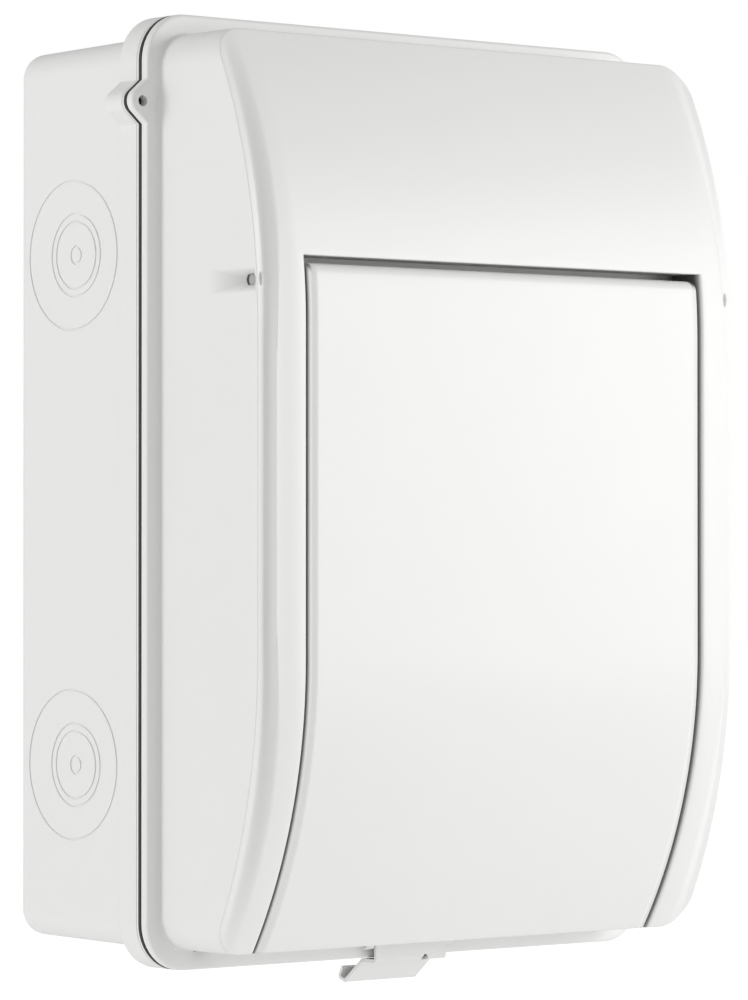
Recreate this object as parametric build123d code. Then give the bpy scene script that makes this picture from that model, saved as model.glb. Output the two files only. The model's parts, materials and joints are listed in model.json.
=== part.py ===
from build123d import *
import math
import os

# Wall-hung breaker panel box: a deep back box, a lift-up bowed cover with a lift-up inspection
# door in it, and the panel interior (pan, bus, breakers, neutral and ground bars, dead front).
#
# Frame: millimetres, +Z up, -Y out of the wall towards the user, origin at the middle of the
# back face. "Reach" below is the distance out from the wall, so a reach r lies at y = -r.

# ---------------------------------------------------------------- back box
BOX_WIDTH = 260.0
BOX_HEIGHT = 378.0
BOX_DEPTH = 85.0
BOX_WALL = 3.0
BOX_DRAFT = 0.9
BOX_CORNER_R = 11.0
BOX_BACK_R = 8.0
COLLAR_DEPTH = 13.4
COLLAR_OVERHANG = 8.0
COLLAR_R = 20.0
COLLAR_ROUND = 1.0
COLLAR_LINE = 0.5
COLLAR_LINE_DEPTH = 0.5
COLLAR_LINE_FROM_FRONT = 1.5
WALL_HOLE_R = 3.5
WALL_HOLE_FROM_SIDE = 50.0
WALL_HOLE_FROM_END = 24.0
KNOCKOUT_RING_R = 31.35
KNOCKOUT_RING_BACK = 2.2
KNOCKOUT_RADII = (17.35, 14.1, 3.6)
KNOCKOUT_GROOVE = 1.0
KNOCKOUT_GROOVE_DEPTH = 0.5
KNOCKOUT_REACH = BOX_DEPTH - 41.2
KNOCKOUT_FROM_END = 82.0
KNOCKOUT_DROP = 7.0

# ---------------------------------------------------------------- joint between box and cover
GASKET_THICKNESS = 1.5
GASKET_WIDTH = 8.5
SEAT_CLEARANCE = 0.3
LOBE_R = 5.5
LOBE_HOLE_R = 2.3
LOBE_OUT = 2.2
LOBE_HALF = 12.5
LOBE_FROM_TOP = 37.0

# ---------------------------------------------------------------- cover
COVER_LAND_SIDE = 6.5
COVER_LAND_END = 8.5
COVER_CORNER_R = 14.0
COVER_WALL = 2.8
COVER_FLANGE = 4.0
COVER_FLANGE_ROUND = 1.2
CREST_MIDDLE = 64.3
CREST_END = 34.0
CROWN_MIDDLE = 69.3
CROWN_END = 34.6
BARREL_FLAT_HALF = 68.0
CROWN_INSET = 10.0
CROWN_SLOPE = 6.0

# ---------------------------------------------------------------- cover hinge (top, behind the flange)
COVER_HINGE_FROM_SIDE = 53.0
COVER_HINGE_WIDTH = 24.0
COVER_HINGE_REACH = BOX_DEPTH + 6.0
COVER_HINGE_BELOW_TOP = 3.8
COVER_PIN_R = 1.5
COVER_EAR_R = 3.0
COVER_PIN_SEAT = 6.0
EAR_SIDE_CLEARANCE = 0.4
PIN_FIT = 0.05

# ---------------------------------------------------------------- door and its recess
COVER_FRAME = 21.5
COVER_FOREHEAD = 93.5
RECESS_DEPTH = 17.0
RECESS_WALL = 2.5
WINDOW_SIDE = 10.0
WINDOW_HEAD = 21.0
WINDOW_SILL = 16.5
DOOR_SIDE_GAP = 1.6
DOOR_TOP_GAP = 3.0
DOOR_PLATE = 3.0
DOOR_SKIRT = 2.5
DOOR_TOP_ROUND = 2.8
DOOR_PIN_DROP = 10.5
DOOR_PIN_SINK = 9.2
DOOR_PIN_R = 2.2
DOOR_PIN_RECESS = 0.6
DOOR_PIN_HOLE_R = 2.7
DOOR_LUG_R = 5.0
DOOR_LUG_WIDTH = 9.0
DOOR_LUG_GAP = 1.0
DOOR_SKIRT_START = 12.0
SEAL_THICKNESS = 1.6
SEAL_WIDTH = 4.0
SEAL_MARGIN = 2.0

# ---------------------------------------------------------------- latch clip (bottom, middle)
LATCH_WIDTH = 39.0
LATCH_SHEET = 1.4
LATCH_PIN_REACH = BOX_DEPTH + 21.8
LATCH_PIN_BELOW = 2.6
LATCH_PIN_R = 1.0
LATCH_BARREL_R = 2.0
LATCH_EAR = 4.5
LATCH_EAR_GAP = 0.4
LATCH_PLATE_REACH = BOX_DEPTH + 23.3
LATCH_RUN_BACK = BOX_DEPTH + 14.5
LATCH_FLAP_BACK = BOX_DEPTH + 3.0
LATCH_FLAP_DROP = 9.6
LATCH_CURL = 4.0
LATCH_SEAL_HOLE_R = 1.7
LATCH_SEAL_HOLE_X = 8.0

# ---------------------------------------------------------------- interior: pan, bus and rails
SCREW_FIT = 0.05
PAN_SIDE_MARGIN = 15.0
PAN_END_MARGIN = 41.0
PAN_REACH = 18.0
PAN_SHEET = 1.5
PAN_FOLD = 10.0
PAN_SCREW_FROM_SIDE = 17.0
PAN_SCREW_FROM_END = 7.0
BOSS_R = 6.0
SMALL_SHANK_R = 2.0
SMALL_HEAD_R = 4.0
SMALL_HEAD = 2.4
BUS_BASE_WIDTH = 56.0
BUS_BASE_THICKNESS = 9.0
BUS_BAR_WIDTH = 12.0
BUS_BAR_THICKNESS = 3.0
BUS_BAR_X = 12.0
STAB_WIDTH = 6.0
STAB_THICKNESS = 2.5
STAB_RISE = 12.0
RAIL_SHEET = 2.5

# ---------------------------------------------------------------- interior: breakers
BREAKER_ROWS = 3
BREAKER_PITCH = 26.0
BREAKER_WIDTH = 25.4
BREAKER_LENGTH = 74.0
BREAKER_BASE = 36.0
BREAKER_FACE = BOX_DEPTH + 8.0
BREAKER_NOSE = 6.5
BREAKER_CENTRE_GAP = 4.0
BREAKER_STEP = 16.0
BREAKER_STEP_REACH = BOX_DEPTH - 15.0
NOSE_START = 14.0
NOSE_LENGTH = 34.0
MAIN_WIDTH = 76.0
MAIN_HEIGHT = 75.0
MAIN_BOTTOM = 8.0
HANDLE_HUB_R = 6.0
HANDLE_HUB_WIDTH = 12.0
HANDLE_CLEARANCE = 0.3
HANDLE_TRUNNION_R = 1.5
HANDLE_TRUNNION = 2.0
HANDLE_LEVER = 7.0
HANDLE_REACH = BOX_DEPTH + 27.0
HANDLE_TILT = 18.0
HANDLE_SLOT = 18.0

# ---------------------------------------------------------------- interior: bars and dead front
BAR_SIZE = 10.0
BAR_FROM_SIDE = 13.0
BAR_FROM_END = 15.0
NEUTRAL_LENGTH = 120.0
NEUTRAL_STANDOFF = 12.0
GROUND_LENGTH = 90.0
BAR_SCREW_PITCH = 11.0
BAR_SCREW_R = 2.2
LUG_WIDTH = 18.0
LUG_HEIGHT = 14.0
LUG_BASE = 48.0
LUG_TALL = 24.0
LUG_BORE_R = 5.5
LUG_X = 19.0
DEAD_FRONT_REACH = BOX_DEPTH + 9.0
DEAD_FRONT_SHEET = 2.0
DEAD_FRONT_GAP = 1.5
DEAD_FRONT_CUT_GAP = 0.8
POST_MARGIN = 14.0
POST_R = 6.0

# ---------------------------------------------------------------- values that follow from those
COLLAR_FRONT = BOX_DEPTH + COLLAR_DEPTH
GASKET_FRONT = COLLAR_FRONT + GASKET_THICKNESS
FLANGE_BACK = GASKET_FRONT + SEAT_CLEARANCE
FLANGE_FRONT = FLANGE_BACK + COVER_FLANGE
COLLAR_WIDTH = BOX_WIDTH + 2 * COLLAR_OVERHANG
COLLAR_HEIGHT = BOX_HEIGHT + 2 * COLLAR_OVERHANG
INNER_WIDTH = BOX_WIDTH - 2 * BOX_WALL
INNER_HEIGHT = BOX_HEIGHT - 2 * BOX_WALL
WALL_HOLE_X = BOX_WIDTH / 2 - WALL_HOLE_FROM_SIDE
WALL_HOLE_Z = BOX_HEIGHT / 2 - WALL_HOLE_FROM_END
KNOCKOUT_SPACING = BOX_HEIGHT - 2 * KNOCKOUT_FROM_END
LOBE_Z = COLLAR_HEIGHT / 2 - LOBE_FROM_TOP
COVER_WIDTH = COLLAR_WIDTH - 2 * COVER_LAND_SIDE
COVER_HEIGHT = COLLAR_HEIGHT - 2 * COVER_LAND_END
COVER_BOTTOM = -COVER_HEIGHT / 2
CROWN_FRONT = FLANGE_FRONT + CROWN_MIDDLE
COVER_HINGE_X = COLLAR_WIDTH / 2 - COVER_HINGE_FROM_SIDE
COVER_HINGE_Z = COLLAR_HEIGHT / 2 - COVER_HINGE_BELOW_TOP
GASKET_CORNER = math.hypot(GASKET_FRONT - COVER_HINGE_REACH, COVER_HINGE_BELOW_TOP)
FLANGE_RELIEF_R = GASKET_CORNER + SEAT_CLEARANCE
RECESS_HALF_WIDTH = COVER_WIDTH / 2 - COVER_FRAME
RECESS_TOP = COVER_HEIGHT / 2 - COVER_FOREHEAD
WINDOW_HALF_WIDTH = RECESS_HALF_WIDTH - WINDOW_SIDE
WINDOW_TOP = RECESS_TOP - WINDOW_HEAD
WINDOW_BOTTOM = COVER_BOTTOM + WINDOW_SILL
DOOR_HALF_WIDTH = RECESS_HALF_WIDTH - DOOR_SIDE_GAP
DOOR_TOP = RECESS_TOP - DOOR_TOP_GAP
DOOR_PIN_Z = RECESS_TOP - DOOR_PIN_DROP
DOOR_PIN_REACH = CROWN_FRONT - DOOR_PIN_SINK
DOOR_SKIRT_DEPTH = RECESS_DEPTH - SEAL_THICKNESS - 0.4
LATCH_PIN_Z = COVER_BOTTOM - LATCH_PIN_BELOW
LATCH_RUN_Z = -COLLAR_HEIGHT / 2 - SEAT_CLEARANCE - 0.2 - LATCH_SHEET / 2
PAN_WIDTH = INNER_WIDTH - 2 * PAN_SIDE_MARGIN
PAN_HEIGHT = INNER_HEIGHT - 2 * PAN_END_MARGIN
PAN_FRONT = PAN_REACH + PAN_SHEET
PAN_SCREW_X = PAN_WIDTH / 2 - PAN_SCREW_FROM_SIDE
PAN_SCREW_Z = PAN_HEIGHT / 2 - PAN_SCREW_FROM_END
BUS_FRONT = PAN_FRONT + BUS_BASE_THICKNESS
BAR_FRONT = BUS_FRONT + BUS_BAR_THICKNESS
BREAKER_END = BREAKER_CENTRE_GAP + BREAKER_LENGTH
HANDLE_X = BREAKER_CENTRE_GAP + NOSE_START + NOSE_LENGTH / 2
HANDLE_AXIS_REACH = BREAKER_FACE + BREAKER_NOSE - HANDLE_HUB_R - 2.0
MAIN_Z = MAIN_BOTTOM + MAIN_HEIGHT / 2
ROW_Z = [MAIN_BOTTOM - 4.0 - BREAKER_PITCH * (row + 0.5) for row in range(BREAKER_ROWS)]
NEUTRAL_X = PAN_WIDTH / 2 - BAR_FROM_SIDE
NEUTRAL_Z = -PAN_HEIGHT / 2 + BAR_FROM_END + NEUTRAL_LENGTH / 2
GROUND_X = -NEUTRAL_X
GROUND_Z = -PAN_HEIGHT / 2 + BAR_FROM_END + GROUND_LENGTH / 2
POST_X = INNER_WIDTH / 2 - POST_MARGIN
POST_Z = INNER_HEIGHT / 2 - POST_MARGIN


# ---------------------------------------------------------------- small helpers
def front_plane(reach):
    """Plane parallel to the wall, facing the user, at a distance out from the wall."""
    return Plane.XZ.offset(reach)


def plate(width, height, radius, start, thickness, x=0.0, z=0.0):
    """Rounded rectangle parallel to the wall, from reach start outwards."""
    outline = Pos(x, z) * RectangleRounded(width, height, radius)
    return extrude(front_plane(start) * outline, thickness)


def block(x_low, x_high, start, end, z_low, z_high):
    """Square block between two x values, two reaches and two heights."""
    return Pos((x_low + x_high) / 2, -(start + end) / 2, (z_low + z_high) / 2) * Box(
        x_high - x_low, end - start, z_high - z_low
    )


def peg(x, z, radius, start, end):
    """Round peg or hole along Y, from reach start to reach end."""
    return extrude(front_plane(start) * (Pos(x, z) * Circle(radius)), end - start)


def cross_pin(x_low, x_high, reach, z, radius):
    """Round pin or hole along X."""
    return extrude(Plane.YZ.offset(x_low) * (Pos(-reach, z) * Circle(radius)), x_high - x_low)


def four_corners(x, z):
    return [(sx * x, sz * z) for sx in (-1, 1) for sz in (-1, 1)]


def screw(x, z, seat, shank):
    """Slotted pan-head screw: head on the seat, shank towards the wall."""
    head = fillet(
        peg(x, z, SMALL_HEAD_R, seat, seat + SMALL_HEAD).faces().sort_by(Axis.Y)[0].edges(), 0.8
    )
    slot = block(x - SMALL_HEAD_R, x + SMALL_HEAD_R, seat + SMALL_HEAD - 1.0, seat + 5.0, z - 0.5, z + 0.5)
    return head - slot + peg(x, z, SMALL_SHANK_R, seat - shank, seat)


def barrel(middle, end, back):
    """Side outline of the bowed front in the YZ plane.

    Flat over the middle height at reach FLANGE_FRONT + middle, then falling along arcs tangent
    to it until FLANGE_FRONT + end at the top and bottom edges; closed at reach back.
    """
    half = COVER_HEIGHT / 2
    run = half - BARREL_FLAT_HALF
    fall = middle - end
    radius = (run * run + fall * fall) / (2 * fall)
    half_turn = math.asin(run / radius) / 2
    top = FLANGE_FRONT + middle
    way_z = BARREL_FLAT_HALF + radius * math.sin(half_turn)
    way = top - radius * (1 - math.cos(half_turn))
    last = FLANGE_FRONT + end
    outline = [
        Line((-back, -half), (-last, -half)),
        ThreePointArc((-last, -half), (-way, -way_z), (-top, -BARREL_FLAT_HALF)),
        Line((-top, -BARREL_FLAT_HALF), (-top, BARREL_FLAT_HALF)),
        ThreePointArc((-top, BARREL_FLAT_HALF), (-way, way_z), (-last, half)),
        Line((-last, half), (-back, half)),
        Line((-back, half), (-back, -half)),
    ]
    return Plane.YZ * make_face(outline)


def barrel_slab(middle, end, back, half_width):
    """The bowed outline carried across the width."""
    return extrude(barrel(middle, end, back), half_width, both=True)


def crown_slab(sunk, back, half_width):
    """Solid under the crown of the cover, its bowed face sunk by the given depth."""
    return barrel_slab(CROWN_MIDDLE - sunk, CROWN_END - sunk, back, half_width)


# ---------------------------------------------------------------- back box
def drafted_body(inset, back, front):
    """Box body that widens from the back face to the collar, inset all round."""
    shrink = BOX_DEPTH * math.tan(math.radians(BOX_DRAFT))
    rear = RectangleRounded(
        BOX_WIDTH - 2 * (inset + shrink), BOX_HEIGHT - 2 * (inset + shrink), BOX_CORNER_R - inset
    )
    mouth = RectangleRounded(BOX_WIDTH - 2 * inset, BOX_HEIGHT - 2 * inset, BOX_CORNER_R - inset)
    body = loft([front_plane(0) * rear, front_plane(BOX_DEPTH) * mouth], ruled=True)
    body = fillet(body.faces().sort_by(Axis.Y)[-1].edges(), BOX_BACK_R)
    return body & block(-BOX_WIDTH, BOX_WIDTH, back, front, -BOX_HEIGHT, BOX_HEIGHT)


def knockout_plane(side, z):
    """Plane lying in the drafted side wall, facing out of the box."""
    slope = math.radians(BOX_DRAFT)
    x = BOX_WIDTH / 2 - (BOX_DEPTH - KNOCKOUT_REACH) * math.tan(slope)
    facing = (side * math.cos(slope), math.sin(slope), 0)
    return Plane(origin=(side * x, -KNOCKOUT_REACH, z), x_dir=(0, 0, 1), z_dir=facing)


def score_ring(radius):
    return Circle(radius + KNOCKOUT_GROOVE / 2) - Circle(radius - KNOCKOUT_GROOVE / 2)


def knockout_grooves(side, z):
    """Score lines of one knockout; the largest ring is set KNOCKOUT_RING_BACK nearer the wall."""
    rings = Sketch() + [score_ring(radius) for radius in KNOCKOUT_RADII]
    rings += Pos(0, -side * KNOCKOUT_RING_BACK) * score_ring(KNOCKOUT_RING_R)
    return extrude(knockout_plane(side, z) * rings, KNOCKOUT_GROOVE_DEPTH, both=True)


def lobe(side):
    """Ear on the flange edge round a sealing hole, blending into the edge above and below."""
    edge = side * (COLLAR_WIDTH / 2 - 4.0)
    centre = side * (COLLAR_WIDTH / 2 + LOBE_OUT)
    round_end = (Pos(centre, LOBE_Z) * Circle(LOBE_R)).edges()
    root = Line((edge, LOBE_Z - LOBE_HALF), (edge, LOBE_Z + LOBE_HALF))
    return make_hull(round_end + root.edges())


def flange_outline():
    """Outline shared by the box collar, the gasket and the cover flange."""
    return RectangleRounded(COLLAR_WIDTH, COLLAR_HEIGHT, COLLAR_R) + lobe(-1) + lobe(1)


def lobe_holes(start, end):
    x = COLLAR_WIDTH / 2 + LOBE_OUT
    return [peg(side * x, LOBE_Z, LOBE_HOLE_R, start, end) for side in (-1, 1)]


def hinge_pocket(x, start):
    """Space round one cover ear, cut out of the collar and the gasket."""
    half = COVER_HINGE_WIDTH / 2 + EAR_SIDE_CLEARANCE
    reach = COVER_EAR_R + EAR_SIDE_CLEARANCE
    return block(
        x - half, x + half, start, GASKET_FRONT + 1.0, COVER_HINGE_Z - reach, COLLAR_HEIGHT / 2 + 1.0
    )


def collar_line():
    """Shadow line scored round the outside of the collar, just behind its front face."""
    section = flange_outline() - offset(flange_outline(), -COLLAR_LINE_DEPTH)
    return extrude(front_plane(COLLAR_FRONT - COLLAR_LINE_FROM_FRONT) * section, COLLAR_LINE)


def back_box():
    body = drafted_body(0.0, 0.0, BOX_DEPTH)
    collar = extrude(front_plane(BOX_DEPTH) * flange_outline(), COLLAR_DEPTH)
    body += fillet(collar.faces().sort_by(Axis.Y)[-1].edges(), COLLAR_ROUND) - collar_line()
    body -= drafted_body(BOX_WALL, BOX_WALL, BOX_DEPTH)
    body -= plate(INNER_WIDTH, INNER_HEIGHT, BOX_CORNER_R - BOX_WALL, BOX_DEPTH, COLLAR_DEPTH)
    body -= lobe_holes(BOX_DEPTH, COLLAR_FRONT)
    for side in (-1, 1):
        for step in (-1, 1):
            body -= knockout_grooves(side, step * KNOCKOUT_SPACING / 2 - KNOCKOUT_DROP)
    for x, z in four_corners(PAN_SCREW_X, PAN_SCREW_Z):
        body += peg(x, z, BOSS_R, BOX_WALL / 2, PAN_REACH)
        body -= peg(x, z, SMALL_SHANK_R + SCREW_FIT, PAN_REACH - 12.0, PAN_REACH)
    for x, z in four_corners(POST_X, POST_Z):
        body += peg(x, z, POST_R, BOX_WALL / 2, DEAD_FRONT_REACH)
        body -= peg(x, z, SMALL_SHANK_R + SCREW_FIT, DEAD_FRONT_REACH - 12.0, DEAD_FRONT_REACH)
    for x, z in four_corners(WALL_HOLE_X, WALL_HOLE_Z):
        body -= peg(x, z, WALL_HOLE_R, 0.0, BOX_WALL + 1.0)
    for x in (-COVER_HINGE_X, COVER_HINGE_X):
        body -= hinge_pocket(x, COVER_HINGE_REACH - COVER_EAR_R - EAR_SIDE_CLEARANCE)
        body -= cover_pin(x, 0.0)
    return body


def cover_pin(x, extra):
    """Hinge pin seated in the collar on both sides of a pocket."""
    half = COVER_HINGE_WIDTH / 2 + COVER_PIN_SEAT
    return cross_pin(x - half, x + half, COVER_HINGE_REACH, COVER_HINGE_Z, COVER_PIN_R + extra)


def cover_hinge_pins():
    return [cover_pin(x, 0.0) for x in (-COVER_HINGE_X, COVER_HINGE_X)]


def cover_gasket():
    """Rubber ring on the face of the collar."""
    ring = extrude(front_plane(COLLAR_FRONT) * flange_outline(), GASKET_THICKNESS)
    ring -= plate(
        COLLAR_WIDTH - 2 * GASKET_WIDTH,
        COLLAR_HEIGHT - 2 * GASKET_WIDTH,
        COLLAR_R - GASKET_WIDTH,
        COLLAR_FRONT,
        GASKET_THICKNESS,
    )
    ring -= lobe_holes(COLLAR_FRONT, GASKET_FRONT)
    for x in (-COVER_HINGE_X, COVER_HINGE_X):
        ring -= hinge_pocket(x, COLLAR_FRONT)
    return ring


# ---------------------------------------------------------------- cover
def cover_outside():
    """Bowed crest level over the full width, with the raised crown between sloping flanks."""
    outline = plate(COVER_WIDTH, COVER_HEIGHT, COVER_CORNER_R, FLANGE_BACK, 2 * CROWN_MIDDLE)
    crest = barrel_slab(CREST_MIDDLE, CREST_END, FLANGE_BACK, COVER_WIDTH)
    crown_half = COVER_WIDTH / 2 - CROWN_INSET
    crown = crown_slab(0.0, FLANGE_BACK, crown_half)
    side_edges = crown.faces().filter_by(Axis.X).edges()
    rims = side_edges.filter_by(lambda edge: -edge.center().Y > FLANGE_FRONT + CREST_END)
    crown = chamfer(rims, CROWN_SLOPE)
    return (crest + crown) & outline


def cover_inside():
    """Hollow of the cover, one wall inside the crest level."""
    outline = plate(
        COVER_WIDTH - 2 * COVER_WALL,
        COVER_HEIGHT - 2 * COVER_WALL,
        COVER_CORNER_R - COVER_WALL,
        FLANGE_BACK - 1.0,
        2 * CROWN_MIDDLE,
    )
    crest = barrel_slab(CREST_MIDDLE - COVER_WALL, CREST_END - COVER_WALL, FLANGE_BACK - 1.0, COVER_WIDTH)
    return crest & outline


def recess_tray():
    """Tray that follows the bow behind the door: side and top walls and a floor."""
    half = RECESS_HALF_WIDTH + RECESS_WALL
    tray = crown_slab(0.1, FLANGE_BACK, half) - crown_slab(RECESS_DEPTH + RECESS_WALL, 0.0, 2 * half)
    tray &= block(-half, half, 0.0, 300.0, COVER_BOTTOM + COVER_WALL / 2, RECESS_TOP + RECESS_WALL)
    return tray


def recess_void():
    """Space that the door lies in, open at the front and at the bottom edge."""
    void = crown_slab(-20.0, FLANGE_BACK, RECESS_HALF_WIDTH)
    void -= crown_slab(RECESS_DEPTH, 0.0, 2 * RECESS_HALF_WIDTH)
    return void & block(
        -RECESS_HALF_WIDTH, RECESS_HALF_WIDTH, 0.0, 300.0, COVER_BOTTOM - 1.0, RECESS_TOP
    )


def window(extra, start, end):
    """Opening in the tray floor through which the breakers are reached."""
    return block(
        -WINDOW_HALF_WIDTH - extra,
        WINDOW_HALF_WIDTH + extra,
        start,
        end,
        WINDOW_BOTTOM - extra,
        WINDOW_TOP + extra,
    )


def cover_ear(x):
    """Hinge ear behind the top of the flange, round the hinge pin."""
    half = COVER_HINGE_WIDTH / 2
    eye = cross_pin(x - half, x + half, COVER_HINGE_REACH, COVER_HINGE_Z, COVER_EAR_R)
    arm = block(
        x - half,
        x + half,
        COVER_HINGE_REACH,
        FLANGE_BACK + 1.0,
        COVER_HINGE_Z - COVER_EAR_R,
        COVER_HINGE_Z + COVER_EAR_R,
    )
    return eye + arm


def latch_ear(side):
    """Ear under the cover that carries one end of the latch pin."""
    inner = LATCH_WIDTH / 2 + LATCH_EAR_GAP
    low, high = sorted((side * inner, side * (inner + LATCH_EAR)))
    return block(
        low,
        high,
        FLANGE_FRONT - 1.0,
        LATCH_PIN_REACH + LATCH_BARREL_R + 0.4,
        LATCH_PIN_Z - LATCH_BARREL_R,
        COVER_BOTTOM + COVER_WALL / 2,
    )


def front_cover():
    flange = extrude(front_plane(FLANGE_BACK) * flange_outline(), COVER_FLANGE)
    flange = fillet(flange.faces().sort_by(Axis.Y)[0].edges(), COVER_FLANGE_ROUND)
    half = COLLAR_WIDTH / 2
    flange -= cross_pin(-half, half, COVER_HINGE_REACH, COVER_HINGE_Z, FLANGE_RELIEF_R)
    cover = flange + cover_outside()
    cover -= cover_inside()
    cover += recess_tray()
    cover -= recess_void()
    cover -= window(0.0, 0.0, 300.0)
    cover -= lobe_holes(FLANGE_BACK, FLANGE_FRONT)
    for x in (-COVER_HINGE_X, COVER_HINGE_X):
        cover += cover_ear(x)
        cover -= cover_pin(x, PIN_FIT)
    for side in (-1, 1):
        cover += latch_ear(side)
        outer = side * (COVER_WIDTH / 2 + 1.0)
        tray_side = side * (RECESS_HALF_WIDTH + RECESS_WALL)
        low, high = sorted((outer, tray_side))
        cover -= cross_pin(low, high, DOOR_PIN_REACH, DOOR_PIN_Z, DOOR_PIN_HOLE_R)
    cover -= cross_pin(-COVER_WIDTH / 2, COVER_WIDTH / 2, DOOR_PIN_REACH, DOOR_PIN_Z, DOOR_PIN_R)
    cover -= latch_pin()
    return cover


def door_seal():
    """Soft strip on the tray floor round the window."""
    half = WINDOW_HALF_WIDTH + SEAL_MARGIN + SEAL_WIDTH
    strip = crown_slab(RECESS_DEPTH - SEAL_THICKNESS, 0.0, half) - crown_slab(RECESS_DEPTH, -1.0, 2 * half)
    return (strip & window(SEAL_MARGIN + SEAL_WIDTH, 0.0, 300.0)) - window(SEAL_MARGIN, 0.0, 300.0)


# ---------------------------------------------------------------- door
def door_lug(side):
    """Lug round the door pin, joined to the back of the door plate."""
    outer = side * (DOOR_HALF_WIDTH - DOOR_LUG_GAP)
    low, high = sorted((outer, outer - side * DOOR_LUG_WIDTH))
    eye = cross_pin(low, high, DOOR_PIN_REACH, DOOR_PIN_Z, DOOR_LUG_R)
    root = block(
        low,
        high,
        DOOR_PIN_REACH,
        CROWN_FRONT - DOOR_PLATE / 2,
        DOOR_PIN_Z - DOOR_LUG_R,
        DOOR_PIN_Z + DOOR_LUG_R,
    )
    return eye + root & crown_slab(DOOR_PLATE / 2, 0.0, 2 * DOOR_HALF_WIDTH)


def inspection_door():
    """Bowed plate flush with the crown, with skirts down its sides and along its bottom."""
    half = DOOR_HALF_WIDTH
    whole = block(-half, half, 0.0, 300.0, COVER_BOTTOM, DOOR_TOP)
    shell = crown_slab(0.0, 0.0, half) - crown_slab(DOOR_SKIRT_DEPTH, -1.0, 2 * half)
    hollow = crown_slab(DOOR_PLATE, -1.0, half - DOOR_SKIRT) & block(
        -half, half, 0.0, 300.0, COVER_BOTTOM + DOOR_SKIRT, DOOR_TOP + 1.0
    )
    above = crown_slab(DOOR_PLATE, -1.0, half + 1.0) & block(
        -half - 1.0, half + 1.0, 0.0, 300.0, DOOR_PIN_Z - DOOR_SKIRT_START, DOOR_TOP + 1.0
    )
    door = (shell & whole) - hollow - above
    top_front = door.edges().filter_by(Axis.X).sort_by(Axis.Z)[-2:].sort_by(Axis.Y)[0]
    door = fillet(top_front, DOOR_TOP_ROUND)
    for side in (-1, 1):
        door += door_lug(side)
    return door - cross_pin(-half, half, DOOR_PIN_REACH, DOOR_PIN_Z, DOOR_PIN_R + PIN_FIT)


def door_hinge_pins():
    """Pins from the cover sides into the door lugs."""
    start = COVER_WIDTH / 2 - DOOR_PIN_RECESS
    end = DOOR_HALF_WIDTH - DOOR_LUG_GAP - DOOR_LUG_WIDTH
    return [
        cross_pin(-start, -end, DOOR_PIN_REACH, DOOR_PIN_Z, DOOR_PIN_R),
        cross_pin(end, start, DOOR_PIN_REACH, DOOR_PIN_Z, DOOR_PIN_R),
    ]


# ---------------------------------------------------------------- latch
def latch_pin():
    half = LATCH_WIDTH / 2 + LATCH_EAR_GAP + LATCH_EAR
    return cross_pin(-half, half, LATCH_PIN_REACH, LATCH_PIN_Z, LATCH_PIN_R)


def latch_clip():
    """Bent strip: pivot barrel, front plate, run under the flanges, slanting flap with a curl."""
    flap_z = LATCH_RUN_Z - LATCH_FLAP_DROP
    path = FilletPolyline(
        (-LATCH_PLATE_REACH, LATCH_PIN_Z),
        (-LATCH_PLATE_REACH, LATCH_RUN_Z),
        (-LATCH_RUN_BACK, LATCH_RUN_Z),
        (-LATCH_FLAP_BACK, flap_z),
        (-LATCH_FLAP_BACK + LATCH_CURL, flap_z + LATCH_CURL * 0.4),
        (-LATCH_FLAP_BACK + LATCH_CURL * 0.4, flap_z + LATCH_CURL * 1.5),
        radius=1.2,
    )
    strip = extrude(Plane.YZ * trace(path, LATCH_SHEET), LATCH_WIDTH / 2, both=True)
    half = LATCH_WIDTH / 2
    strip += cross_pin(-half, half, LATCH_PIN_REACH, LATCH_PIN_Z, LATCH_BARREL_R)
    strip -= cross_pin(-half, half, LATCH_PIN_REACH, LATCH_PIN_Z, LATCH_PIN_R + PIN_FIT)
    hole = Plane(
        origin=(LATCH_SEAL_HOLE_X, -LATCH_PLATE_REACH, LATCH_RUN_Z), x_dir=(1, 0, 0), z_dir=(0, -1, -1)
    )
    return strip - extrude(hole * Circle(LATCH_SEAL_HOLE_R), 4.0, both=True)


# ---------------------------------------------------------------- interior
def interior_pan():
    """Sheet pan with folded sides that carries the bus, the rails and the bars."""
    half = PAN_WIDTH / 2
    pan = plate(PAN_WIDTH, PAN_HEIGHT, 3.0, PAN_REACH, PAN_SHEET)
    for side in (-1, 1):
        low, high = sorted((side * half, side * (half - PAN_SHEET)))
        fold = PAN_HEIGHT / 2 - 5.0
        pan += block(low, high, PAN_REACH + 0.5, PAN_REACH + PAN_FOLD, -fold, fold)
    for x, z in four_corners(PAN_SCREW_X, PAN_SCREW_Z):
        pan -= peg(x, z, SMALL_SHANK_R + SCREW_FIT, PAN_REACH, PAN_FRONT)
    return pan


def pan_screws():
    return [screw(x, z, PAN_FRONT, 12.0) for x, z in four_corners(PAN_SCREW_X, PAN_SCREW_Z)]


def bus_base():
    """Moulded block that insulates the bus bars from the pan, ribbed between them."""
    low = ROW_Z[-1] - BREAKER_PITCH / 2
    high = MAIN_BOTTOM + 22.0
    half = BUS_BASE_WIDTH / 2
    base = block(-half, half, PAN_FRONT, BUS_FRONT, low, high)
    return base + block(-2.0, 2.0, BUS_FRONT - 1.0, BAR_FRONT + 2.0, low, high)


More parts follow.
